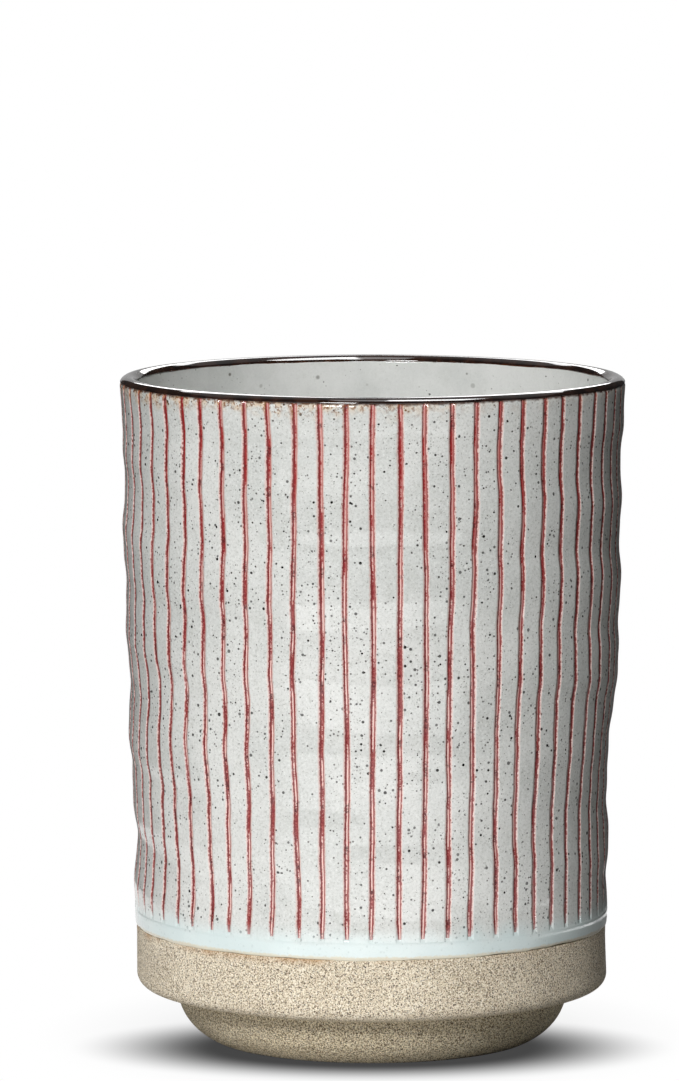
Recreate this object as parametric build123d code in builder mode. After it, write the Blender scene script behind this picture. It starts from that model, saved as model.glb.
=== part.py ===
"""Spoon holder: a thrown stoneware crock on a narrower turned foot.

The clay pot, the coats of glaze fired on it, and the thin red upright lines scratched round its wall.
Millimetres, +Z up, origin on the table under the middle of the foot.
"""

import os
from math import cos, radians, sin

from build123d import *

os.makedirs("parts", exist_ok=True)

# Outside of the pot, over the glaze
height = 158.5
mouth_radius = 60.0
lip_lean = 3.4              # degrees that the wall flares outwards at the lip
shoulder_step = 1.1         # how far in from the mouth the wall stands upright, under the flare
shoulder_drop = 53.0        # from the top of the lip down to there
wall_taper = 3.25           # how far in from the mouth the coat ends, on top of the pooled roll

# Clay
band_step = 0.45            # how far in from the end of the coat the bare band lies
band_corner = 5.0           # rounding at the band's lower edge
band_floor = 12.5           # table to the underside of the band
lip_thickness = 3.3         # clay wall at the lip
lip_flat = 1.3              # flat left on top of the clay's lip between its two bevels
wall_gain = 2.0             # extra clay in the wall at its bottom
floor_thickness = 7.0
inner_corner = 14.0         # rounding between the wall and the floor inside

# Turned foot
neck_step = 9.5             # how far in from the band the foot leaves its underside
neck_drop = 1.3             # from the underside of the band down to there
foot_bulge = 1.97           # how far the side of the foot swells out of a straight line
ring_step = 8.6             # how far in from the neck the foot meets the table
ring_width = 6.5            # ring that stands on the table
ring_draft = 1.5            # how far the inside of the ring leans in
recess_depth = 4.0          # hollow under the pot, inside the ring

# Glaze
glaze_thickness = 0.45
glaze_line = 27.4           # table to the turned shoulder where the outside glaze stops
roll_height = 4.6           # pooled roll, upwards from the shoulder
roll_thickness = 0.6        # glaze at the lower edge of the roll
roll_proud = 0.2            # how far that edge stands out from the bare band
cap_depth = 1.45            # how far the brown cap runs down the lip

# Red lines
line_count = 60
front_line_angle = -90.0    # one line faces the front
line_width = 1.2
line_depth = 0.35           # scratched into the clay
line_inset = 0.1            # face of a line below the face of the glaze
line_end_gap = 0.8          # from the ends of a line to the roll below and to the brown cap above

# Places that follow from the sizes above
shoulder_radius = mouth_radius - shoulder_step
coat_radius = mouth_radius - wall_taper
band_radius = coat_radius - band_step
neck_radius = band_radius - neck_step
ring_radius = neck_radius - ring_step
cap_bottom = height - cap_depth
lip_center = mouth_radius - glaze_thickness - lip_thickness / 2
roll_top = glaze_line + roll_height
seat_radius = band_radius + roll_proud - roll_thickness
floor_height = recess_depth + floor_thickness
inside_radius = band_radius - lip_thickness - wall_gain
line_bottom = roll_top + line_end_gap
line_top = cap_bottom - line_end_gap


def wall(inset):
    """Outside of the wall from the brown cap down to the roll, this far in from the glaze's face."""
    lean = radians(lip_lean)
    return Spline(
        (mouth_radius - inset, cap_bottom),
        (shoulder_radius - inset, height - shoulder_drop),
        (coat_radius - inset, roll_top),
        tangents=((-sin(lean), -cos(lean)), (0, -1)),
    )


def hollow(inset):
    """Inside of the pot from the brown cap down to the axis, this far in from the clay."""
    return FilletPolyline(
        (lip_center - lip_thickness / 2 - inset, cap_bottom),
        (inside_radius - inset, floor_height + inset),
        (0, floor_height + inset),
        radius=inner_corner - inset,
    )


def clay_lip():
    """Top of the clay wall, bevelled on both sides, from its outside to its inside."""
    clay_top = height - glaze_thickness
    return Polyline(
        (lip_center + lip_thickness / 2, cap_bottom),
        (lip_center + lip_flat / 2, clay_top),
        (lip_center - lip_flat / 2, clay_top),
        (lip_center - lip_thickness / 2, cap_bottom),
    )


# Tool that scratches the lines: upright strips as wide as a line, through the coat into the clay
with BuildPart() as line_strips:
    with BuildSketch(Plane.XZ):
        with BuildLine():
            outer = wall(-glaze_thickness)
            inner = wall(glaze_thickness + line_depth)
            Line(outer @ 0, inner @ 0)
            Line(outer @ 1, inner @ 1)
        make_face()
        with Locations((0, line_bottom)):
            Rectangle(
                2 * mouth_radius + 4 * glaze_thickness,
                line_top - line_bottom,
                align=(Align.CENTER, Align.MIN),
                mode=Mode.INTERSECT,
            )
    extrude(amount=line_width / 2, both=True)
strip = line_strips.part


# Clay pot: one thrown and turned piece, from the lip to the ring it stands on
with BuildPart() as stoneware_body:
    with BuildSketch(Plane.XZ):
        with BuildLine():
            outside = wall(glaze_thickness)
            seat = Line(outside @ 1, (seat_radius, glaze_line))
            shoulder = Line(seat @ 1, (band_radius, glaze_line))
            band = Line(shoulder @ 1, (band_radius, band_floor + band_corner))
            corner = JernArc(start=band @ 1, tangent=(0, -1), radius=band_corner, arc_size=-90)
            underside = Line(corner @ 1, (neck_radius, band_floor - neck_drop))
            foot = SagittaArc(underside @ 1, (ring_radius, 0), foot_bulge)
            Polyline(
                foot @ 1,
                (ring_radius - ring_width, 0),
                (ring_radius - ring_width - ring_draft, recess_depth),
                (0, recess_depth),
                (0, floor_height),
            )
            hollow(0)
            clay_lip()
        make_face()
    revolve(axis=Axis.Z)
    with PolarLocations(0, line_count, start_angle=front_line_angle):
        add(strip, mode=Mode.SUBTRACT)
stoneware_body.part.label = "stoneware_body"


# Glaze poured over the inside, from under the brown cap to the middle of the floor
with BuildPart() as liner_glaze:
    with BuildSketch(Plane.XZ):
        with BuildLine():
            face = hollow(glaze_thickness)
            back = hollow(0)
            Line(face @ 0, back @ 0)
            Line(face @ 1, back @ 1)
        make_face()
    revolve(axis=Axis.Z)
liner_glaze.part.label = "liner_glaze"


# Pale coat outside, from under the brown cap down to the roll, open where the lines run
with BuildPart() as wall_glaze:
    with BuildSketch(Plane.XZ):
        with BuildLine():
            face = wall(0)
            back = wall(glaze_thickness)
            Line(face @ 0, back @ 0)
            Line(face @ 1, back @ 1)
        make_face()
    revolve(axis=Axis.Z)
    with PolarLocations(0, line_count, start_angle=front_line_angle):
        add(strip, mode=Mode.SUBTRACT)
wall_glaze.part.label = "wall_glaze"


# Roll of thick glaze, where the coat ran down and pooled on the shoulder above the bare band
with BuildPart() as glaze_roll:
    with BuildSketch(Plane.XZ):
        with BuildLine():
            join = Line((coat_radius - glaze_thickness, roll_top), (coat_radius, roll_top))
            edge = JernArc(
                start=(seat_radius, glaze_line), tangent=(1, 0), radius=roll_thickness, arc_size=90
            )
            Line(join @ 1, edge @ 1)
            Line(join @ 0, edge @ 0)
        make_face()
    revolve(axis=Axis.Z)
glaze_roll.part.label = "glaze_roll"


# Iron-brown cap over the lip
with BuildPart() as rim_glaze:
    with BuildSketch(Plane.XZ):
        with BuildLine():
            half_width = lip_thickness / 2 + glaze_thickness
            over = ThreePointArc(
                (lip_center + half_width, cap_bottom),
                (lip_center, height),
                (lip_center - half_width, cap_bottom),
            )
            under = clay_lip()
            Line(over @ 0, under @ 0)
            Line(over @ 1, under @ 1)
        make_face()
    revolve(axis=Axis.Z)
rim_glaze.part.label = "rim_glaze"


# Red slip that fills the scratched lines, a little below the face of the coat
with BuildPart() as line_inlays:
    with BuildSketch(Plane.XZ):
        with BuildLine():
            face = wall(line_inset)
            back = wall(glaze_thickness + line_depth)
            Line(face @ 0, back @ 0)
            Line(face @ 1, back @ 1)
        make_face()
        with Locations((0, line_bottom)):
            Rectangle(
                2 * mouth_radius,
                line_top - line_bottom,
                align=(Align.CENTER, Align.MIN),
                mode=Mode.INTERSECT,
            )
    extrude(amount=line_width / 2, both=True)
    inlay = line_inlays.part
    with PolarLocations(0, line_count, start_angle=front_line_angle):
        add(inlay, mode=Mode.REPLACE)
line_inlays.part.label = "line_inlays"


for piece in (stoneware_body, liner_glaze, wall_glaze, glaze_roll, rim_glaze, line_inlays):
    export_step(piece.part, f"parts/{piece.part.label}.step")
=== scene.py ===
from math import cos, hypot, pi, radians, sin, tan

import bpy
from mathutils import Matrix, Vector


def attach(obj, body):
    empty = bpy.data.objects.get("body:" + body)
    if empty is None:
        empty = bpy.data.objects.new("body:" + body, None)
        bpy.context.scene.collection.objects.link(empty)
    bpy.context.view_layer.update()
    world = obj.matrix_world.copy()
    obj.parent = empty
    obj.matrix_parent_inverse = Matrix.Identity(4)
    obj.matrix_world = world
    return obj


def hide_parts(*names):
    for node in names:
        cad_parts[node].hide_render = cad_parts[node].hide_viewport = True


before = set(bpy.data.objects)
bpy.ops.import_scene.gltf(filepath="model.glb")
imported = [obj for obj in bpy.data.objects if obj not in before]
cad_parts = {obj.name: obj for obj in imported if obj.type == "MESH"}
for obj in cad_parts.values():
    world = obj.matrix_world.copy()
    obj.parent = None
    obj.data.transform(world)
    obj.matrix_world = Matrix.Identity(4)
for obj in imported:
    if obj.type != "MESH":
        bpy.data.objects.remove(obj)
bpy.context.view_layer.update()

# ---- Clay pot ----
# One piece of sandy stoneware, thrown on the wheel and turned upside down afterwards, so that a
# bowl-shaped foot and its ring are cut from the clay under the wall. A bare band of the clay and
# the foot show, and the rest lies under the glaze.

# Radii and heights are millimetres, from the pot's axis and from the table.
wall_foot, wall_middle, wall_head = (32.0, 56.75), (105.5, 58.9), (157.05, 60.0)  # height, radius
middle_slope, head_slope = 0.019445, tan(radians(3.4))
foot_ring = 31.7, 38.2                # radii of the ring that the pot stands on
recess_radius, recess_height = 30.2, 4
foot_height, foot_flare, foot_swell, foot_steps = 11.2, 8.6, 1.97, 12
foot_out, foot_down = 0.793, 0.609    # which way the foot's side swells
band_inner, band_outer = (46.8, 11.2), (52.9, 12.6)   # ends of the band's underside
band_radius, band_corner = 56.3, 3.1
glaze_line = 27.4                     # where the outside glaze stops
shoulder_radius = 55.2                # step in the clay that carries the roll of glaze
under_glaze = 0.95                    # how far the clay lies behind the face of the glaze
lip_inner, lip_outer, lip_clay = 57.3, 58.5, 157.75
inside_mouth, inside_corner, inside_floor = 56.4, (51.05, 13.9), 11.0
profile_step = 2.2                    # longest run between two points of a turned profile
millimetre = 0.001                    # in metres, which the finished meshes are in


def wall_outside(z):
    """Radius of the outside of the wall: upright at the roll, and flaring a little at the lip."""
    ends = (wall_foot, 0.0), (wall_middle, middle_slope), (wall_head, head_slope)
    (low, low_slope), (high, high_slope) = ends[:2] if z < wall_middle[0] else ends[1:]
    span = high[0] - low[0]
    t = min(max((z - low[0]) / span, 0), 1)
    return (
        low[1] * (1 + 2 * t) * (1 - t) ** 2
        + low_slope * span * t * (1 - t) ** 2
        + high[1] * t * t * (3 - 2 * t)
        + high_slope * span * t * t * (t - 1)
    )


def rounded(corners, arcs=6):
    """Points of a profile whose corners (radius, height, rounding) are turned into small arcs."""
    points = []
    for number, (r, z, rounding) in enumerate(corners):
        if not rounding:
            points.append((r, z))
            continue
        here = Vector((r, z))
        before = (Vector(corners[number - 1][:2]) - here).normalized()
        after = (Vector(corners[number + 1][:2]) - here).normalized()
        half = before.angle(after) / 2
        middle = here + (before + after).normalized() * rounding / sin(half)
        first = here + before * rounding / tan(half) - middle
        last = here + after * rounding / tan(half) - middle
        for step in range(arcs + 1):
            arm = first.slerp(last, step / arcs).normalized() * rounding
            points.append(tuple(middle + arm))
    return points


def evenly(points, step):
    """The same profile with extra points, so that none of its runs is longer than the step."""
    filled = [points[0]]
    for start, end in zip(points, points[1:]):
        parts = max(1, round(hypot(end[0] - start[0], end[1] - start[1]) / step))
        for part in range(1, parts + 1):
            t = part / parts
            filled.append((start[0] + (end[0] - start[0]) * t, start[1] + (end[1] - start[1]) * t))
    return filled


def profile(name, points, closed=False, **rules):
    """A row of points (radius, 0, height) for the wheel, with each rule's share at each point."""
    start = bpy.data.meshes.new(name)
    if closed:
        points = [*points, points[0]]
    start.from_pydata([(r, 0, z) for r, z in points], [], [])
    for label, rule in rules.items():
        share = start.attributes.new(label, "FLOAT", "POINT")
        share.data.foreach_set("value", [rule(r, z) for r, z in points])
    return start


def on_the_wall(r, z):
    """The throwing rings are on the wall and leave the floor and the foot even."""
    return 1.0 if z > 11.9 and r > 50 else 0.0


def nowhere(r, z):
    return 0.0


def join(tree, value, place):
    """Puts a number, colour or node output into an input of a node."""
    value = getattr(value, "socket", value)
    if isinstance(value, bpy.types.NodeSocket):
        tree.links.new(value, place)
    else:
        place.default_value = value


def add(tree, kind, places=None, **settings):
    """A new node with these settings and inputs."""
    made = tree.nodes.new(kind)
    for label, value in settings.items():
        setattr(made, label, value)
    for label, value in (places or {}).items():
        join(tree, value, made.inputs[label])
    return made


def calc(tree, operation, *values):
    """A Math node with these inputs."""
    made = add(tree, "ShaderNodeMath", operation=operation)
    for value, place in zip(values, made.inputs):
        join(tree, value, place)
    return Figure(tree, made.outputs[0])


class Figure:
    """A number inside a node tree. Ordinary arithmetic on it makes the tree's Math nodes."""

    def __init__(self, tree, socket):
        self.tree, self.socket = tree, socket

    def __add__(self, other):
        return calc(self.tree, "ADD", self, other)

    def __sub__(self, other):
        return calc(self.tree, "SUBTRACT", self, other)

    def __rsub__(self, other):
        return calc(self.tree, "SUBTRACT", other, self)

    def __mul__(self, other):
        return calc(self.tree, "MULTIPLY", self, other)

    def __truediv__(self, other):
        return calc(self.tree, "DIVIDE", self, other)

    def __rtruediv__(self, other):
        return calc(self.tree, "DIVIDE", other, self)

    __radd__, __rmul__ = __add__, __mul__

    def sine(self):
        return calc(self.tree, "SINE", self)

    def cosine(self):
        return calc(self.tree, "COSINE", self)

    def size(self):
        return calc(self.tree, "ABSOLUTE", self)

    def floor(self):
        return calc(self.tree, "FLOOR", self)

    def within(self, span):
        return calc(self.tree, "FLOORED_MODULO", self, span)

    def power(self, exponent):
        return calc(self.tree, "POWER", self, exponent)

    def at_least(self, other):
        return calc(self.tree, "MAXIMUM", self, other)

    def ramp(self, start, end):
        """From 0 at start to 1 at end, eased at both."""
        ends = {"Value": self, "From Min": start, "From Max": end}
        made = add(self.tree, "ShaderNodeMapRange", ends, interpolation_type="SMOOTHSTEP")
        return Figure(self.tree, made.outputs[0])


def vector(tree, x=0.0, y=0.0, z=0.0):
    """A place in a node tree from its three coordinates."""
    return add(tree, "ShaderNodeCombineXYZ", {"X": x, "Y": y, "Z": z}).outputs[0]


def axes(tree, place):
    """The three coordinates of a place in a node tree."""
    parts = add(tree, "ShaderNodeSeparateXYZ", {"Vector": place}).outputs
    return [Figure(tree, part) for part in parts]


def noise(tree, place, waves, detail=2.0, roughness=0.5):
    """Soft random number, about 0.5 on average, with this many waves for each unit of the place."""
    places = {"Vector": place, "Scale": waves, "Detail": detail, "Roughness": roughness}
    return Figure(tree, add(tree, "ShaderNodeTexNoise", places).outputs[0])


def new_tree(name, takes, gives):
    """An empty Geometry Nodes tree with named inputs and outputs."""
    tree = bpy.data.node_groups.new(name, "GeometryNodeTree")
    for label, (kind, value) in takes.items():
        made = tree.interface.new_socket(label, in_out="INPUT", socket_type="NodeSocket" + kind)
        if value is not None:
            made.default_value = value
    for label, kind in gives.items():
        tree.interface.new_socket(label, in_out="OUTPUT", socket_type="NodeSocket" + kind)
    return tree, tree.nodes.new("NodeGroupInput").outputs, tree.nodes.new("NodeGroupOutput").inputs


def use(tree, rule, **places):
    """A node that works out one of the shared rules inside another tree."""
    made = add(tree, "GeometryNodeGroup", node_tree=rule)
    for label, value in places.items():
        join(tree, value, made.inputs[label])
    return {socket.name: Figure(tree, socket) for socket in made.outputs}


def on_circle(tree, turned, reach, height):
    """A place for noise that meets itself after a full turn."""
    return vector(tree, turned.cosine() * reach, turned.sine() * reach, height)


# Throwing rings: the fingers leave a shallow spiral, and the wall is pressed a little out of round.
spiral_rise, fine_rise = 21.5, 8.6    # height from one ring to the next
spiral_depth, fine_depth, unround_depth = 0.27, 0.14, 1.5
flat_depth = 0.55
throwing, takes, gives = new_tree(
    "throwing rings", {"Angle": ("Float", 0), "Height": ("Float", 0)}, {"Swell": "Float"}
)
turned, height = Figure(throwing, takes["Angle"]), Figure(throwing, takes["Height"])
drift = noise(throwing, on_circle(throwing, turned, 1.1, height / 60), 1.0, 1.0)
spiral = (height * (2 * pi / spiral_rise) + turned + drift * 7.0 - 2.4).sine()
fine = (height * (2 * pi / fine_rise) + turned * 2 + (turned * 3 + 2.1).sine() * 1.1).sine()
unround = noise(throwing, on_circle(throwing, turned, 0.9, height / 38), 1.0, 1.0) - 0.5
fine_share = noise(throwing, on_circle(throwing, turned, 1.4, height / 16), 1.0)
rings = spiral * spiral_depth + fine * fine_share * fine_depth + unround * unround_depth
dents = 0.0
for facing, at, wide, tall, depth in (    # degrees from the front, height, reach and depth
    (-80, 50.5, 34, 7.5, 0.95),
    (-72, 88, 30, 8, 0.45),
    (84, 67, 36, 10, 0.95),
    (80, 43, 40, 6, 0.35),
    (28, 96, 24, 9, 0.35),
):
    away = (turned + radians(90 - facing)).cosine()
    around = (1 - away) * (2 / radians(wide) ** 2)
    upward = ((height - at) / tall) * ((height - at) / tall)
    dents = calc(throwing, "EXPONENT", (around + upward) * -1.0) * depth + dents
flat_side = (turned + radians(-8)).cosine().ramp(0.2, 1.0)
flat_side = flat_side * height.ramp(8, 26) * height.ramp(120, 45)
free = height.ramp(31, 40) * height.ramp(156.5, 143)    # the rings fade out at the roll and the lip
join(throwing, (rings - dents - 0.12) * free - flat_side * flat_depth, gives["Swell"])


def own_number(tree, label):
    """A number that the mesh carries at each point."""
    named = add(tree, "GeometryNodeInputNamedAttribute", {"Name": label}, data_type="FLOAT")
    return Figure(tree, named.outputs[0])


def keep_number(tree, shape, label, value):
    """The shape, carrying this number at each point."""
    places = {"Geometry": shape, "Name": label, "Value": value}
    return add(tree, "GeometryNodeStoreNamedAttribute", places, data_type="FLOAT").outputs[0]


def unrolled(tree, outline, columns):
    """A flat sheet for a profile that is turned in this many steps.

    It comes with the column, radius and height at each point, and with a way to look up the
    share that each of the profile's rules has there.
    """
    counted = add(tree, "GeometryNodeAttributeDomainSize", {"Geometry": outline})
    rows = Figure(tree, counted.outputs[0])
    sheet = add(tree, "GeometryNodeMeshGrid", {"Vertices X": columns + 1, "Vertices Y": rows})
    index = Figure(tree, add(tree, "GeometryNodeInputIndex").outputs[0])
    row, column = index.within(rows), ((index + 0.5) / rows).floor()

    def sampled(kind, value):
        places = {"Geometry": outline, "Index": row}
        found = add(tree, "GeometryNodeSampleIndex", places, data_type=kind)
        join(tree, value, found.inputs["Value"])
        return found.outputs[0]

    def share(label):
        return Figure(tree, sampled("FLOAT", own_number(tree, label)))

    position = add(tree, "GeometryNodeInputPosition").outputs[0]
    radius, _, high = axes(tree, sampled("FLOAT_VECTOR", position))
    return sheet.outputs["Mesh"], column, radius, high, share


def rolled_up(tree, shape, turned, radius, high):
    """Moves each point of a shape to its angle, radius and height."""
    place = vector(
        tree,
        radius * turned.cosine() * millimetre,
        radius * turned.sine() * millimetre,
        high * millimetre,
    )
    return add(tree, "GeometryNodeSetPosition", {"Geometry": shape, "Position": place}).outputs[0]


def finish_tree(tree, shape, material, result):
    """Closes the seam and the poles, shades smooth, and sets the material."""
    closed = add(tree, "GeometryNodeMergeByDistance", {"Geometry": shape, "Distance": 0.000004})
    smooth = add(tree, "GeometryNodeSetShadeSmooth", {"Geometry": closed.outputs[0]})
    real = add(tree, "GeometryNodeRealizeInstances", {"Geometry": smooth.outputs[0]})
    places = {"Geometry": real.outputs[0], "Material": material}
    join(tree, add(tree, "GeometryNodeSetMaterial", places).outputs[0], result)


turning, takes, gives = new_tree(
    "turned piece",
    {
        "Profile": ("Geometry", None),
        "Columns": ("Int", 240),
        "Rings": ("Float", 1.0),
        "Wobble": ("Float", 0.1),
        "Wave height": ("Float", 0.0),
        "Material": ("Material", None),
    },
    {"Piece": "Geometry"},
)
columns = Figure(turning, takes["Columns"])
sheet, column, radius, high, share = unrolled(turning, takes["Profile"], columns)
turned = column * (2 * pi) / columns
swell = use(turning, throwing, Angle=turned, Height=high)["Swell"]
wobble = noise(turning, on_circle(turning, turned, 2.2, high / 14), 1.0)
wave = noise(turning, on_circle(turning, turned, 4.5, 3.0), 1.0, 3.0) - 0.5
radius = (
    radius
    + swell * share("rings") * Figure(turning, takes["Rings"])
    - wobble * share("wobble") * Figure(turning, takes["Wobble"])
)
high = high + wave * share("wave") * Figure(turning, takes["Wave height"])
moved = rolled_up(turning, sheet, turned, radius, high)
finish_tree(turning, moved, takes["Material"], gives["Piece"])


def make_piece(name, start, tree, **values):
    """Runs a tree on a starting mesh and keeps the result as a plain mesh at the origin."""
    piece = bpy.data.objects.new(name, start)
    bpy.context.scene.collection.objects.link(piece)
    shaping = piece.modifiers.new("shaping", "NODES")
    shaping.node_group = tree
    for socket in tree.interface.items_tree:
        label = socket.name.replace(" ", "_")
        if socket.item_type == "SOCKET" and socket.in_out == "INPUT" and label in values:
            shaping[socket.identifier] = values[label]
    graph = bpy.context.evaluated_depsgraph_get()
    made = bpy.data.meshes.new_from_object(
        piece.evaluated_get(graph), preserve_all_data_layers=True, depsgraph=graph
    )
    piece.modifiers.remove(shaping)
    piece.data = made
    made.name = name
    return piece


def paint(red, green, blue):
    """A colour as it looks on a screen, 0 to 255, in the linear values that shaders take."""
    linear = [
        c / 12.92 if c <= 0.04045 else ((c + 0.055) / 1.055) ** 2.4
        for c in (red / 255, green / 255, blue / 255)
    ]
    return (*linear, 1.0)


def new_surface(name, roughness):
    """A material, its tree, its shader, and the object's own coordinates in metres."""
    surface = bpy.data.materials.new(name)
    surface.use_nodes = True
    tree = surface.node_tree
    shader = tree.nodes["Principled BSDF"]
    shader.inputs["Roughness"].default_value = roughness
    return surface, tree, shader, add(tree, "ShaderNodeTexCoord").outputs["Object"]


def mix(tree, share, first, second):
    """First colour, and second where the share is 1."""
    made = add(tree, "ShaderNodeMix", data_type="RGBA", clamp_factor=True)
    for place, value in zip((0, 6, 7), (share, first, second)):    # the factor and both colours
        join(tree, value, made.inputs[place])
    return made.outputs[2]


def cells(tree, place, size):
    """Random cells this many metres apart: how far from a cell's middle, and its three numbers."""
    made = add(tree, "ShaderNodeTexVoronoi", {"Vector": place, "Scale": 1 / size})
    parts = add(tree, "ShaderNodeSeparateColor", {"Color": made.outputs["Color"]}).outputs
    return (Figure(tree, made.outputs["Distance"]), *(Figure(tree, parts[i]) for i in range(3)))


def raise_surface(tree, shader, height, depth):
    """Bump from a height figure; depth in metres is how far a height of 1 stands up."""
    bump = add(tree, "ShaderNodeBump", {"Height": height, "Distance": depth})
    join(tree, bump.outputs[0], shader.inputs["Normal"])


sand, pale_sand = paint(214, 198, 170), paint(230, 215, 188)
pale_speck, dark_speck = paint(252, 246, 232), paint(92, 73, 52)
cut_sand, cut_pale, cut_dark = paint(206, 184, 138), paint(255, 246, 220), paint(60, 44, 26)
pale_grit, dark_grit, iron_flash = paint(246, 238, 220), paint(52, 42, 34), paint(176, 126, 66)
grain_waves, grit_spacing, grain_height = 2900, 0.00038, 0.00016

sandy_clay, tree, shader, place = new_surface("sandy_clay", 0.85)
across, _, high = axes(tree, place)
high = high * 1000
colour = mix(tree, noise(tree, place, 60, 3).ramp(0.35, 0.65), sand, pale_sand)
coarse = noise(tree, place, grain_waves, 3, 0.8)
colour = mix(tree, coarse.ramp(0.51, 0.60) * 0.95, colour, pale_speck)
colour = mix(tree, coarse.ramp(0.49, 0.38), colour, dark_speck)
trimmed = high.ramp(13.5, 12.0)       # where the foot was cut, the coarser grain lies open
colour = mix(tree, trimmed * 0.5, colour, cut_sand)
colour = mix(tree, coarse.ramp(0.50, 0.56) * trimmed * 0.8, colour, cut_pale)
colour = mix(tree, coarse.ramp(0.50, 0.42) * trimmed * 0.8, colour, cut_dark)
far, pick, size, tint = cells(tree, place, grit_spacing)
dark_grain = pick.ramp(0.62, 0.66) * (far - size * 0.25).ramp(0.34, 0.16)
pale_grain = pick.ramp(0.30, 0.26) * (far - size * 0.2).ramp(0.40, 0.2)
colour = mix(tree, pale_grain * 0.6, colour, pale_grit)
colour = mix(tree, dark_grain * (tint * 0.5 + 0.5), colour, dark_grit)
west = across.ramp(0.02, -0.02)       # the kiln flashed the clay under the glaze on one side
near_glaze = (high + coarse * 2).ramp(26.2, 28.6)
flash = noise(tree, place, 95, 3).ramp(0.38, 0.62) * near_glaze * (west * 0.8 + 0.2)
colour = mix(tree, flash * 0.65, colour, iron_flash)
join(tree, colour, shader.inputs["Base Color"])
raise_surface(tree, shader, coarse * 1.2 - dark_grain * 0.5 + pale_grain * 0.3, grain_height)

foot_side = []
for step in range(foot_steps + 1):    # from the table up to the band's underside
    t = step / foot_steps
    swelling = 4 * foot_swell * t * (1 - t)
    foot_side.append(
        (
            foot_ring[1] + foot_flare * t + foot_out * swelling,
            foot_height * t - foot_down * swelling,
        )
    )
clay_outside = [
    *rounded(
        [
            (0, recess_height, 0),
            (recess_radius, recess_height, 0.5),
            (foot_ring[0], 0, 0.4),
            (foot_ring[1], 0, 0.35),
            (*foot_side[1], 0),
        ]
    ),
    *foot_side[2:foot_steps],
    *rounded([(*foot_side[-2], 0), (*band_inner, 0.3), (*band_outer, 0)])[1:],
    *rounded(
        [(53.1, 12.62, 0), (band_radius, 12.7, band_corner), (band_radius, 16.2, 0)], arcs=9
    )[1:],
    *rounded(
        [
            (band_radius, 18, 0),
            (band_radius, glaze_line, 0.25),
            (shoulder_radius, glaze_line, 0.2),
            (shoulder_radius, 30, 0),
        ]
    ),
    *[(wall_outside(z) - under_glaze, z) for z in range(32, 157, 2)],
    *rounded(
        [
            (59.0, 157.0, 0),
            (lip_outer, lip_clay, 0.2),
            (lip_inner, lip_clay, 0.2),
            (56.45, 157.0, 0),
        ]
    ),
    *rounded(
        [
            (inside_mouth, 156.4, 0),
            (inside_corner[0], inside_floor, inside_corner[1]),
            (0, inside_floor, 0),
        ],
        arcs=14,
    ),
]
clay_profile = profile(
    "clay profile",
    evenly(clay_outside, profile_step),
    rings=on_the_wall,
    wobble=lambda r, z: 1.0 if z < 27 and r > 10 else 0.0,
    wave=nowhere,
)
clay_pot = make_piece(
    "clay_pot", clay_profile, turning, Columns=300, Wobble=0.12, Material=sandy_clay
)
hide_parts("stoneware_body")
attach(clay_pot, "root")

# ---- Glaze inside ----
# The same pale glaze, poured in and rolled round before the outside was dipped. It covers the
# inner wall and the floor, thin and smooth, with soft darker spots from the iron in the clay.

liner_face, liner_back = (50.55, 11.45, 13.55), (51.0, 11.03, 13.85)   # radius, floor, rounding
liner_pale, liner_grey, iron_spot = paint(214, 215, 212), paint(200, 202, 199), paint(80, 76, 66)
spot_spacing, glaze_ripple = 0.0042, 0.00006


def speckled_glaze(name, roughness, pale, grey, grainy, specks):
    """A pale glossy glaze over sandy clay: cloudy, finely grained, and flecked with iron."""
    surface, tree, shader, place = new_surface(name, roughness)
    colour = mix(tree, noise(tree, place, 42, 4, 0.6).ramp(0.36, 0.64), grey, pale)
    patch = noise(tree, place, 210, 3, 0.6)
    colour = mix(tree, patch.ramp(0.5, 0.75) * 0.2, colour, paint(182, 184, 176))
    grain = noise(tree, place, 1700, 3, 0.85)
    colour = mix(tree, grain.ramp(0.52, 0.66) * grainy, colour, paint(148, 149, 142))
    colour = mix(tree, grain.ramp(0.46, 0.34) * grainy, colour, paint(240, 241, 238))
    gather = noise(tree, place, 95, 1).ramp(0.3, 0.7)
    height = grain * 0.1
    for spacing, share, largest, tone, ink in (    # four sizes of fleck, the largest first
        (0.0024, 0.48, 0.17, 1.00, paint(26, 21, 18)),
        (0.0014, 0.55, 0.25, 1.00, paint(24, 19, 16)),
        (0.0010, 0.55, 0.24, 0.95, paint(40, 29, 23)),
        (0.0006, 0.55, 0.26, 0.60, paint(66, 60, 52)),
    ):
        far, pick, size, tint = cells(tree, place, spacing)
        chosen = ((gather * 0.8 + 0.2) * share * specks - pick).ramp(-0.005, 0.005)
        spot = chosen * (far - (size * 0.6 + 0.4) * largest).ramp(0.03, 0.0)
        colour = mix(tree, spot * (tint * 0.25 + 0.75) * tone, colour, ink)
        height = height - spot * 0.5
    return surface, tree, shader, place, colour, height


inner_glaze, tree, shader, place, colour, height = speckled_glaze(
    "inner_glaze", 0.12, liner_pale, liner_grey, grainy=0.12, specks=0.1
)
far, pick, size, tint = cells(tree, place, spot_spacing)
spots = pick.ramp(0.3, 0.35) * (far - size * 0.1).ramp(0.1, 0.02)
colour = mix(tree, spots * (tint * 0.6 + 0.3), colour, iron_spot)
join(tree, colour, shader.inputs["Base Color"])
raise_surface(tree, shader, height + noise(tree, place, 160, 2) * 1.5, glaze_ripple)

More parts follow.
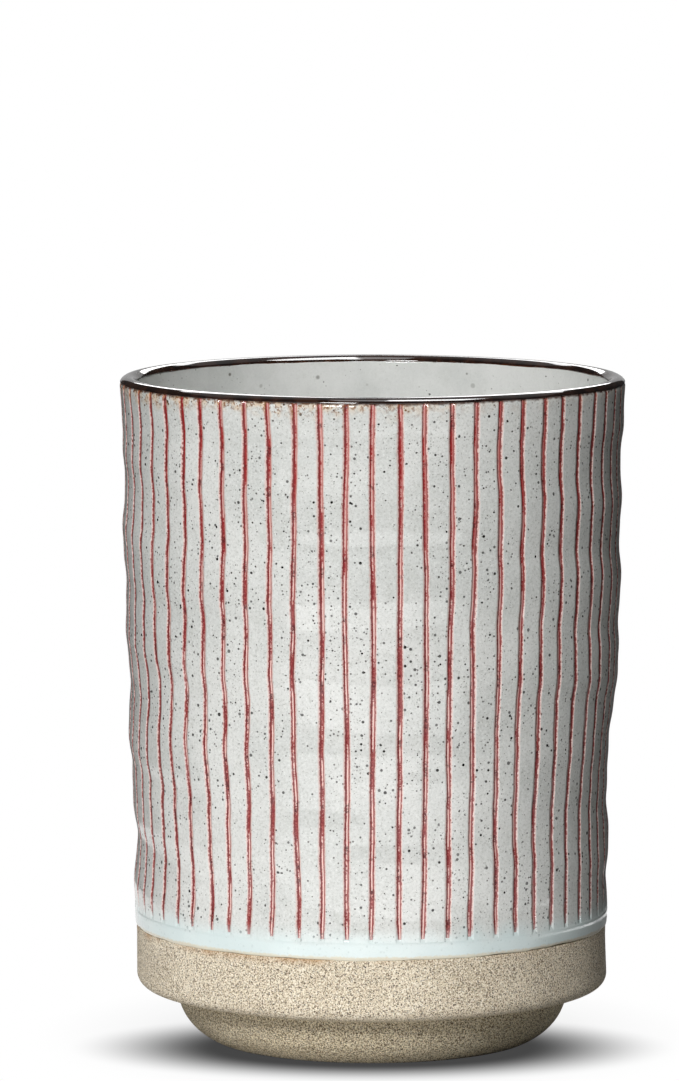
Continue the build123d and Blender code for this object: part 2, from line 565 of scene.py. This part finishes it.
inner_shape = [
    *rounded(
        [(0, liner_back[1], 0), liner_back, (56.35, 156.6, 0), (56.35, 156.95, 0)], arcs=14
    ),
    (55.86, 157.1),
    *rounded([(55.85, 156.75, 0), liner_face, (0, liner_face[1], 0)], arcs=14),
]
inner_profile = profile(
    "inner glaze profile",
    evenly(inner_shape, profile_step),
    rings=on_the_wall,
    wobble=nowhere,
    wave=nowhere,
)
inner_coat = make_piece(
    "inner_coat", inner_profile, turning, Columns=300, Rings=1.0, Wobble=0.0, Material=inner_glaze
)
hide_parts("liner_glaze")
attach(inner_coat, "root")

# ---- Glaze outside ----
# The pale coat on the outer wall, dipped and then fired glossy. Upright lines are scratched
# through it into the clay from the brown lip down to the roll, sixty of them round the pot.

line_count, columns_per_line = 60, 12
usual_radius = 58.5                   # where the width of a line is measured
coat_bottom, coat_top, coat_steps = 30.6, 157.35, 119
coat_depth = 0.85                     # from the face of the coat to its back
coat_pale, coat_grey = paint(217, 218, 215), paint(205, 207, 204)
pool_blue, pool_pale = paint(208, 223, 223), paint(220, 232, 231)
pink_halo, red_stain = paint(226, 184, 176), paint(136, 54, 54)
iron_tint, iron_fleck, iron_edge = paint(214, 170, 110), paint(122, 76, 38), paint(70, 42, 28)

# The hand that draws a line sways a little, and presses harder in some places than in others.
scratching, takes, gives = new_tree(
    "scratching hand",
    {"Line": ("Float", 0), "Height": ("Float", 0)},
    {"Sway": "Float", "Press": "Float"},
)
line, height = Figure(scratching, takes["Line"]), Figure(scratching, takes["Height"])
slow = noise(scratching, vector(scratching, line * 5.37, height / 62), 1.0, 0.0) - 0.5
quick = noise(scratching, vector(scratching, line * 3.11, height / 9, 4.0), 1.0, 1.0) - 0.5
press = noise(scratching, vector(scratching, line * 7.77, height / 15, 9.0), 1.0, 2.0) - 0.5
join(scratching, slow * 2.6 + quick * 0.42, gives["Sway"])
join(scratching, press * 0.9 + 1.0, gives["Press"])

coating, takes, gives = new_tree(
    "scratched coat",
    {
        "Profile": ("Geometry", None),
        "Lines": ("Int", 60),
        "Columns per line": ("Int", 12),
        "Groove depth": ("Float", 0.7),
        "Material": ("Material", None),
    },
    {"Piece": "Geometry"},
)
lines, each = Figure(coating, takes["Lines"]), Figure(coating, takes["Columns per line"])
sheet, column, radius, high, share = unrolled(coating, takes["Profile"], lines * each)
number = ((column + each * 0.5 + 0.01) / each).floor()
side = (column - number * each) / each                    # from -0.5 to 0.5 across one line's share
crowded = side * 0.17 + side * side * side * (0.83 * 4)   # columns lie closer together at the line
hand = use(coating, scratching, Line=number.within(lines), Height=high)
near = 1 - side * side * 4
pitch = 360.0 / lines
off_line = crowded * pitch * ((hand["Press"] - 1) * near + 1)
facing = number * pitch + off_line + hand["Sway"] * near - 90
turned = facing * (pi / 180)
swell = use(coating, throwing, Angle=turned, Height=high)["Swell"]
across = crowded.size() * pitch * (pi / 180 * usual_radius)
run_out = noise(coating, vector(coating, number.within(lines) * 2.3), 1.0, 0.0) * 4
ended = (high - run_out).ramp(26.5, 33.0) * high.ramp(157.3, 157.1)
groove = across.ramp(0.56, 0.26) * ended * share("skin")
radius = radius + swell - groove * Figure(coating, takes["Groove depth"])
moved = rolled_up(coating, sheet, turned, radius, high)
stored = keep_number(coating, moved, "off_line", across)
finish_tree(coating, stored, takes["Material"], gives["Piece"])


def dipped_glaze(name, roughness):
    """The outside glaze, which turns bluer and clearer towards its lower edge."""
    surface, tree, shader, place, colour, height = speckled_glaze(
        name, roughness, coat_pale, coat_grey, grainy=0.45, specks=1.0
    )
    across, _, high = axes(tree, place)
    high = high * 1000
    pool = (high + (noise(tree, place, 120, 3) - 0.5) * 6).ramp(36.0, 30.0)
    blue = mix(tree, noise(tree, place, 60, 2).ramp(0.3, 0.7), pool_blue, pool_pale)
    colour = mix(tree, pool * 0.9, colour, blue)
    return surface, tree, shader, place, colour, height, across, high


pale_glaze, tree, shader, place, colour, height, across, high = dipped_glaze("pale_glaze", 0.1)
away = Figure(tree, add(tree, "ShaderNodeAttribute", attribute_name="off_line").outputs["Fac"])
ragged = noise(tree, place, 1500, 3, 0.7)
low_end = (high + ragged * 3).ramp(33.5, 38)
halo = (away - ragged * 0.5).ramp(0.78, 0.32) * low_end
colour = mix(tree, halo * 0.75, colour, pink_halo)
stain = (away - (ragged - 0.5) * 0.7).ramp(0.60, 0.50) * low_end
colour = mix(tree, stain * 0.9, colour, red_stain)
west = across.ramp(0.03, -0.01)       # the lip's iron ran further on one side
below_lip = (high + noise(tree, place, 260, 1) * 6).ramp(156.0, 160.0) * (west * 0.8 + 0.2)
tinted = below_lip * noise(tree, place, 500, 2).ramp(0.4, 0.6)
colour = mix(tree, tinted * 0.45, colour, iron_tint)
fleck = noise(tree, place, 1100, 3, 0.7).ramp(0.52, 0.57) * below_lip
colour = mix(tree, fleck * 0.85, colour, iron_fleck)
edge = (high + noise(tree, place, 700, 2) * 1.2).ramp(157.1, 157.8)
colour = mix(tree, edge * 0.9, colour, iron_edge)
join(tree, colour, shader.inputs["Base Color"])
raise_surface(tree, shader, height + noise(tree, place, 170, 2) * 1.2, glaze_ripple)

coat_rows = [
    coat_bottom + (coat_top - coat_bottom) * step / coat_steps for step in range(coat_steps + 1)
]
coat_shape = [(wall_outside(z) - max(0, (z - 156.6) * 0.3), z) for z in coat_rows]
coat_back = [(wall_outside(z) - coat_depth, z) for z in coat_rows[::-13]]
coat_profile = profile(
    "coat profile",
    [*coat_shape, *coat_back],
    closed=True,
    skin=lambda r, z: 1.0 if r > wall_outside(z) - 0.4 else 0.0,
)
outer_coat = make_piece(
    "outer_coat",
    coat_profile,
    coating,
    Lines=line_count,
    Columns_per_line=columns_per_line,
    Material=pale_glaze,
)
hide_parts("wall_glaze")
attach(outer_coat, "root")

# ---- Pooled roll ----
# At its lower edge the outside glaze ran down and pooled in a thick rounded roll on a shoulder
# turned in the clay. It is the same glaze, but bluer and clearer because it is thicker there.

roll_shape = [    # radius and height, down the back, and round the outside to the top
    (55.35, 27.45),
    (56.15, 27.42),
    (56.36, 27.5),
    (56.5, 27.75),
    (56.6, 28.2),
    (56.68, 29.1),
    (56.74, 29.9),
    (56.765, 30.8),
    (56.76, 31.5),
    (56.55, 32.3),
    (55.9, 32.3),
    (55.4, 30.0),
]
roll_wave, roll_ripple, fine_step = 1.3, 0.00004, 0.5
thin_edge = paint(214, 200, 170)

pooled_glaze, tree, shader, place, colour, height, _, high = dipped_glaze("pooled_glaze", 0.08)
uneven = noise(tree, place, 1400, 3, 0.7) * 1.2 + noise(tree, place, 180, 2) * 0.6
colour = mix(tree, (high + uneven).ramp(29.4, 28.8) * 0.7, colour, thin_edge)
join(tree, colour, shader.inputs["Base Color"])
raise_surface(tree, shader, height, roll_ripple)

roll_profile = profile(
    "roll profile",
    evenly(roll_shape, fine_step),
    closed=True,
    rings=lambda r, z: 1.0,
    wobble=nowhere,
    wave=lambda r, z: max(0.0, min(1.0, (30.5 - z) / 2)),
)
pooled_roll = make_piece(
    "pooled_roll",
    roll_profile,
    turning,
    Columns=480,
    Wobble=0.0,
    Wave_height=roll_wave,
    Material=pooled_glaze,
)
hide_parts("glaze_roll")
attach(pooled_roll, "root")

# ---- Brown lip ----
# An iron-brown glaze brushed over the lip, glossy and nearly black where it is thick, with a
# wavy lower edge that bleeds a little into the pale coat.

lip_arc, lip_middle, lip_centre = 2.2457, 57.9, 156.254
cap_wobble, cap_wave = 0.06, 0.7
iron_black, iron_brown = paint(24, 15, 12), paint(50, 31, 23)
iron_patch, iron_bleed = paint(20, 13, 11), paint(110, 64, 36)

iron_glaze, tree, shader, place = new_surface("iron_glaze", 0.07)
colour = mix(tree, noise(tree, place, 240, 4, 0.65).ramp(0.38, 0.62), iron_black, iron_brown)
patch = noise(tree, place, 900, 3, 0.7)
colour = mix(tree, patch.ramp(0.55, 0.72) * 0.5, colour, iron_patch)
high = axes(tree, place)[2] * 1000
bleed = (high + noise(tree, place, 620, 3, 0.6)).ramp(157.75, 157.35)
colour = mix(tree, bleed * 0.6, colour, iron_bleed)
join(tree, colour, shader.inputs["Base Color"])

cap_shape = [     # up the outside, over the lip's arc, and back under it against the clay
    (59.65, 157.1),
    (59.85, 157.2),
    *[
        (lip_middle + lip_arc * sin(radians(a)), lip_centre + lip_arc * cos(radians(a)))
        for a in (62, 55, 47, 38, 29, 20, 10, 0, -10, -20, -27)
    ],
    (56.05, 157.53),
    (55.81, 157.15),
    (55.84, 156.95),
    (56.0, 156.9),
    (56.4, 157.2),
    (57.1, 157.85),
    (58.6, 157.85),
    (59.3, 157.2),
]
cap_profile = profile(
    "cap profile",
    evenly(cap_shape, fine_step),
    closed=True,
    rings=nowhere,
    wobble=lambda r, z: 0.0 if r > 59.5 else 1.0,
    wave=lambda r, z: 1.0 if z < 157.35 and (r > 59.5 or r < 56.2) else 0.0,
)
brown_lip = make_piece(
    "brown_lip",
    cap_profile,
    turning,
    Columns=480,
    Wobble=cap_wobble,
    Wave_height=cap_wave,
    Material=iron_glaze,
)
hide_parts("rim_glaze")
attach(brown_lip, "root")

# ---- Red lines ----
# Iron-red slip brushed into the scratched lines. It lies in each groove like a shallow gutter:
# dark at its edges, and paler in the middle where the glaze has run over it. On top of that,
# painted shade darkens each line's left edge and painted light pinks its right side, more so
# on the pot's lit side.

line_bottom, line_top, strip_rows = 31.0, 157.1, 104
end_width, end_sink = 0.3, 0.2        # a line's two ends are narrower and lie a little deeper
line_section = (                      # half widths from the middle, and depth below the glaze
    (-1, 0.2),
    (-0.7, 0.29),
    (-0.36, 0.35),
    (0, 0.37),
    (0.36, 0.35),
    (0.7, 0.29),
    (1, 0.2),
    (0.8, 0.78),
    (-0.8, 0.78),
)
low_red, high_red = paint(128, 44, 47), paint(146, 34, 35)
# Painted light and painted shade are among these: a pale pink for a groove's lit wall and a dark
# red for its shaded wall.
bead_pink, painted_light_pink, core_pink = paint(178, 96, 90), paint(214, 150, 142), paint(240, 206, 198)
painted_shade_red, right_dark, burnt = paint(100, 32, 34), paint(128, 46, 46), paint(76, 24, 26)
faded_red, slip_grain = paint(200, 180, 178), 0.00008

line_strip = bpy.data.meshes.new("line strip")
corners, faces, wall_at = [], [], []
around = len(line_section)
for step in range(strip_rows):
    z = line_bottom + (line_top - line_bottom) * step / (strip_rows - 1)
    slim = end_width if step in (0, strip_rows - 1) else 1.0
    for across, depth in line_section:
        corners.append((across * slim, depth + (1 - slim) * end_sink, z))
        wall_at.append(wall_outside(z))
    if step:
        base = (step - 1) * around
        for corner in range(around):
            here, after = base + corner, base + (corner + 1) % around
            faces.append((here, after, after + around, here + around))
faces.append(tuple(reversed(range(around))))
faces.append(tuple(range(len(corners) - around, len(corners))))
line_strip.from_pydata(corners, [], faces)
line_strip.attributes.new("wall_at", "FLOAT", "POINT").data.foreach_set("value", wall_at)

drawing, takes, gives = new_tree(
    "lines on the wall",
    {
        "Strip": ("Geometry", None),
        "Lines": ("Int", 60),
        "Half width": ("Float", 0.48),
        "Material": ("Material", None),
    },
    {"Piece": "Geometry"},
)
lines = Figure(drawing, takes["Lines"])
places = add(drawing, "GeometryNodeMeshLine", {"Count": lines, "Offset": (0, 0, 0)})
index = add(drawing, "GeometryNodeInputIndex").outputs[0]
numbered = keep_number(drawing, places.outputs[0], "line", index)
copies = add(
    drawing, "GeometryNodeInstanceOnPoints", {"Points": numbered, "Instance": takes["Strip"]}
)
strips = add(drawing, "GeometryNodeRealizeInstances", {"Geometry": copies.outputs[0]})
position = add(drawing, "GeometryNodeInputPosition").outputs[0]
across, deep, high = axes(drawing, position)
line, wall = own_number(drawing, "line"), own_number(drawing, "wall_at")
hand = use(drawing, scratching, Line=line, Height=high)
reach = across * hand["Press"] * Figure(drawing, takes["Half width"])
facing = line * (360.0 / lines) + hand["Sway"] - 90
turned = facing * (pi / 180) + reach / usual_radius
swell = use(drawing, throwing, Angle=turned, Height=high)["Swell"]
shape = keep_number(drawing, strips.outputs[0], "across", across)
shape = rolled_up(drawing, shape, turned, wall + swell - deep, high)
finish_tree(drawing, shape, takes["Material"], gives["Piece"])

red_slip, tree, shader, place = new_surface("red_slip", 0.16)
east, _, high = axes(tree, place)
high = high * 1000
painted_light_west = 1 - east.ramp(0.0, 0.04)       # painted light: the lines are paler and pinker on the pot's lit side
across = Figure(tree, add(tree, "ShaderNodeAttribute", attribute_name="across").outputs["Fac"])
line = Figure(tree, add(tree, "ShaderNodeAttribute", attribute_name="line").outputs["Fac"])
long = noise(tree, vector(tree, line * 3.7, high / 11, 2.0), 1.0, 2)
bead = noise(tree, place, 2000, 3, 0.75)
upper = high.ramp(95, 150)
ragged = (bead - 0.5) * 1.4
ragged_across = across + ragged * 0.5
colour = mix(tree, upper, low_red, high_red)
beaded = bead.ramp(0.46, 0.64) * (1 - upper * 0.7) * (painted_light_west * 0.4 + 0.6)
colour = mix(tree, beaded, colour, bead_pink)
# Painted light: the right side of each line, the groove wall that faces the light, is mixed towards
# pale pink.
painted_light_side = ragged_across.ramp(0.05, 0.45) * (upper * 0.5 + 0.1) * (painted_light_west * 0.8 + 0.2)
colour = mix(tree, painted_light_side, colour, painted_light_pink)
# Painted shade: the left edge of each line, the groove wall turned away from the light, is mixed
# towards dark red.
left = ragged_across.ramp(-0.35, -0.7)
colour = mix(tree, left * (long * 0.6 + 0.4), colour, painted_shade_red)
right = ragged_across.ramp(0.5, 0.8)
colour = mix(tree, right * (1 - long) * (0.9 - upper * 0.6), colour, right_dark)
glazed_over = (long + bead * 0.4 - 0.2).ramp(0.42, 0.52)
core = (across - 0.05 + ragged * 0.4).size().ramp(0.46, 0.18) * glazed_over
colour = mix(tree, core * (0.95 - upper * 0.45) * (painted_light_west * 0.4 + 0.6), colour, core_pink)
scorch = noise(tree, vector(tree, line * 5.1, high / 5, 7.0), 1.0, 2).ramp(0.56, 0.64)
colour = mix(tree, scorch * bead.ramp(0.6, 0.45) * 0.8, colour, burnt)
fade = (high + long * 4 + bead).ramp(37.0, 33.5)
colour = mix(tree, fade * 0.7, colour, faded_red)
join(tree, colour, shader.inputs["Base Color"])
raise_surface(tree, shader, bead, slip_grain)

red_lines = make_piece("red_lines", line_strip, drawing, Lines=line_count, Material=red_slip)
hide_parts("line_inlays")
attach(red_lines, "root")

# ---- Table and light ----
# A plain pale table top, and round it a lamp in front on the left, a weak wide screen beside it,
# one lamp overhead, one on the left that shows in the gloss alone, two behind, and two dark
# cards. The table's shadow, bright strip and glow are drawn in its own material.

table_reach = 4.0                     # metres, as are all the lengths in this section
shadow_ahead, shadow_squeeze = 0.0175, 1.58           # the soft shadow is an oval before the foot
shadow_inside, shadow_outside, shadow_dark = 0.037, 0.073, 0.07
front_gain, strip_gain, dimming = 1.5, 2.2, 0.8       # how the table looks in reflections
glow_strength = 0.4
white, pale_grey, dusk = (1, 1, 1, 1), (0.62, 0.61, 0.6, 1), (0.05, 0.05, 0.05, 1)
mid_grey, warm_white = (0.25, 0.25, 0.24, 1), (1, 0.99, 0.97, 1)


def flat_sheet(name, corners, material):
    """One staging face with this material."""
    sheet = bpy.data.meshes.new(name)
    sheet.from_pydata(corners, [], [(0, 1, 2, 3)])
    sheet.materials.append(material)
    placed = bpy.data.objects.new(name, sheet)
    bpy.context.scene.collection.objects.link(placed)
    return placed


table_white, tree, shader, place = new_surface("table_white", 0.6)
spread = add(tree, "ShaderNodeVectorMath", {0: place}, operation="LENGTH").outputs["Value"]
spread = Figure(tree, spread)
side, forward, _ = axes(tree, place)
rays = add(tree, "ShaderNodeLightPath").outputs

# For the camera the table is white with an oval shadow.
ahead = (forward + shadow_ahead) * shadow_squeeze
shadow = (side * side + ahead * ahead).power(0.5).ramp(shadow_inside, shadow_outside)
contact = add(tree, "ShaderNodeAmbientOcclusion", {"Distance": 0.03}, samples=16).outputs["AO"]
contact = Figure(tree, contact)
shade = (shadow * (1 - shadow_dark) + shadow_dark) * (contact * 0.15 + 0.85)

# In reflections it is brighter in front and in a strip on the right, and darker between them.
in_front = (side.size() + forward * 0.8).ramp(0.02, -0.02)
beside = side.ramp(0.05, 0.08) * forward.ramp(-0.05, -0.03)
strip = beside * spread.ramp(0.186, 0.190) * spread.ramp(0.210, 0.206) * forward.ramp(0.12, 0.09)
dimmed = beside * spread.ramp(0.19, 0.186) * dimming
gain = (in_front * front_gain + strip * strip_gain - dimmed) * rays["Is Glossy Ray"] + 1
bright = add(tree, "ShaderNodeEmission", {"Color": white, "Strength": shade * gain})
near_pot = spread.ramp(0.30, 0.25) * (1 - beside * spread.ramp(0.206, 0.212))
near_pot = near_pot.at_least(in_front * spread.ramp(0.545, 0.515))
seen = (near_pot * rays["Is Glossy Ray"]).at_least(rays["Is Camera Ray"])

# For diffuse light it is a grey sheet that glows in front on the left, as a lit table does.
bounce = spread.ramp(0.30, 0.14) * (side * 0.6 + forward).ramp(-0.01, -0.07)
glowing = bounce * spread.ramp(0.05, 0.10) * glow_strength
plain = add(tree, "ShaderNodeBsdfDiffuse", {"Color": mix(tree, bounce, mid_grey, pale_grey)})
glow = add(tree, "ShaderNodeEmission", {"Color": warm_white, "Strength": glowing})
plain = add(tree, "ShaderNodeAddShader", {0: plain.outputs[0], 1: glow.outputs[0]})
dusky = add(tree, "ShaderNodeEmission", {"Color": dusk})
beyond = {0: rays["Is Glossy Ray"], 1: plain.outputs[0], 2: dusky.outputs[0]}
beyond = add(tree, "ShaderNodeMixShader", beyond)
both = add(tree, "ShaderNodeMixShader", {0: seen, 1: beyond.outputs[0], 2: bright.outputs[0]})
join(tree, both.outputs[0], tree.nodes["Material Output"].inputs["Surface"])
edges = (-1, -1), (1, -1), (1, 1), (-1, 1)
flat_sheet("table", [(x * table_reach, y * table_reach, 0) for x, y in edges], table_white)

dark_card, tree, shader, place = new_surface("dark_card", 0.9)
shader.inputs["Base Color"].default_value = (0.02, 0.02, 0.02, 1)
card_foot, card_head = 0.04, 0.6
for name, near, far in (
    ("right_card", (0.5, 0.0), (0.2, 0.7)),
    ("left_card", (-0.5, 0.0), (-0.2, 0.7)),
):
    corners = [(*near, card_foot), (*far, card_foot), (*far, card_head), (*near, card_head)]
    card = flat_sheet(name, corners, dark_card)
    card.visible_camera = False

room = bpy.data.worlds.new("room")
room.use_nodes = True
tree = room.node_tree
rays = add(tree, "ShaderNodeLightPath").outputs
behind = axes(tree, add(tree, "ShaderNodeTexCoord").outputs["Generated"])[1].ramp(-0.1, 0.35)
seen = (behind * rays["Is Glossy Ray"] * 0.5).at_least(rays["Is Camera Ray"])
tone = mix(tree, seen, (0.025, 0.025, 0.025, 1), white)
join(tree, tone, tree.nodes["Background"].inputs["Color"])
bpy.context.scene.world = room

aim_height = 0.09                     # the lamps look at the middle of the pot


def lamp(name, facing, rise, away, wide, tall, brightness):
    """A rectangular lamp, so many degrees left of the front and above the table."""
    light = bpy.data.lights.new(name, "AREA")
    light.shape, light.size, light.size_y = "RECTANGLE", wide, tall
    light.energy = brightness * pi * wide * tall
    placed = bpy.data.objects.new(name, light)
    turn, lift = radians(facing), radians(rise)
    place = Vector((-sin(turn) * cos(lift), -cos(turn) * cos(lift), sin(lift))) * away
    placed.location = place + Vector((0, 0, aim_height))
    placed.rotation_euler = (-place).to_track_quat("-Z", "Y").to_euler()
    bpy.context.scene.collection.objects.link(placed)
    return placed


lamp("key", 16, 28, 1.8, 0.45, 0.4, 50.0)
lamp("screen", 20, 14, 1.5, 1.3, 0.9, 0.6)
lamp("overhead", 0, 88, 1.6, 0.5, 0.5, 4.0)
glint = lamp("glint", -90, 76, 1.6, 0.5, 0.6, 22.0)
glint.visible_diffuse = False
lamp("back_right", -164, 30, 1.8, 0.8, 0.8, 8.0)
lamp("back_left", 164, 30, 1.8, 0.8, 0.8, 7.0)

camera_back, camera_height = 1.7, 0.3084
look_down, look_left = 6.356, 0.264   # degrees
focal_pixels, frame_pixels, sensor = 7190.6, 1081, 36
view = bpy.data.cameras.new("view")
view.sensor_fit, view.sensor_height, view.clip_end = "VERTICAL", sensor, 30
view.lens = sensor * focal_pixels / frame_pixels
camera = bpy.data.objects.new("view", view)
camera.location = (0, -camera_back, camera_height)
camera.rotation_euler = (radians(90 - look_down), 0, radians(look_left))
bpy.context.scene.collection.objects.link(camera)
bpy.context.scene.camera = camera
bpy.context.scene.view_settings.view_transform = "Standard"
